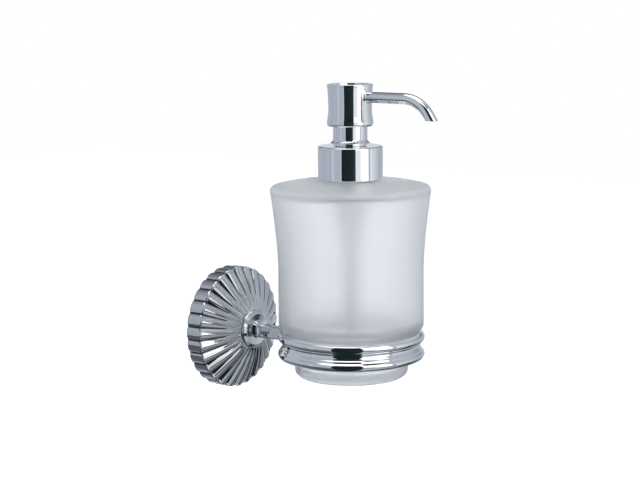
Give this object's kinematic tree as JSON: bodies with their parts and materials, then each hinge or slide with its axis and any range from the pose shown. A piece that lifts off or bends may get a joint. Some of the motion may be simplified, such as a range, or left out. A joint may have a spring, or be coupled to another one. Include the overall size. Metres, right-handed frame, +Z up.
{
  "type": "lotion dispenser",
  "caption": "Wall-held lotion dispenser: frosted glass bottle in a two-bead chrome ring on a short arm and fluted round rosette, with a press pump and a bent spout.",
  "frame": {"origin": "centre of the wall plate's back face, on the wall", "axes": "+Z up, +Y into the wall, so the bottle hangs out along -Y; +X is to the right of someone who faces the wall"},
  "size_m": [0.082, 0.1361, 0.1657],
  "materials": {
    "chrome": "polished",
    "zinc": "matt die-cast",
    "steel": "plain",
    "frosted_glass": "frosted",
    "pump_plastic": "moulded",
    "clear_plastic": "smooth",
    "seal_rubber": "matt"
  },
  "bodies": {
    "wall_side": {"wall_plate": "zinc", "rosette": "chrome", "rosette_grub_screw": "steel", "arm_screw": "steel", "arm_screw_washer": "steel", "arm_flange": "chrome", "arm": "chrome", "holder_ring": "chrome", "seat_gasket": "seal_rubber"},
    "bottle": {"glass_bottle": "frosted_glass"},
    "pump_body": {"pump_housing": "pump_plastic", "dip_tube": "clear_plastic", "chaplet": "pump_plastic", "guide_neck": "chrome", "neck_gasket": "seal_rubber"},
    "closure": {"closure_shell": "chrome", "closure_insert": "pump_plastic"},
    "plunger": {"stem": "pump_plastic", "piston_rod": "pump_plastic", "return_spring": "steel"},
    "sliding_seal": {"piston_seal": "seal_rubber"},
    "head": {"head_shell": "chrome", "head_cap": "chrome", "head_core": "pump_plastic", "spout": "chrome"},
    "valve_ball": {"inlet_ball": "steel"}
  },
  "joints": [
    {"name": "bottle_lift", "type": "slide", "parent": "wall_side", "child": "bottle", "axis": [0, 0, 1], "range_m": [0, 0.04]},
    {"name": "pump_rise", "type": "slide", "parent": "bottle", "child": "pump_body", "axis": [0, 0, 1], "range_m": [0, 0.00634]},
    {"name": "collar_turn", "type": "hinge", "parent": "pump_body", "child": "closure", "pos_m": [0, -0.0838, 0.0937], "axis": [0, 0, 1], "range_deg": [0, 540]},
    {"name": "head_press", "type": "slide", "parent": "pump_body", "child": "plunger", "axis": [0, 0, -1], "range_m": [0, 0.0075], "stiffness_N_per_m": 800, "springref_m": -0.006, "deforming": ["return_spring"]},
    {"name": "seal_slip", "type": "slide", "parent": "plunger", "child": "sliding_seal", "axis": [0, 0, 1], "range_m": [0, 0.001]},
    {"name": "head_swivel", "type": "hinge", "parent": "plunger", "child": "head", "pos_m": [0, -0.0838, 0.1216], "axis": [0, 0, 1], "continuous": true},
    {"name": "ball_lift", "type": "slide", "parent": "pump_body", "child": "valve_ball", "axis": [0, 0, 1], "range_m": [0, 0.0015]}
  ],
  "couplings": [
    {"joint": "collar_turn", "follows": "pump_rise", "rad_per_m": 1485.4}
  ]
}
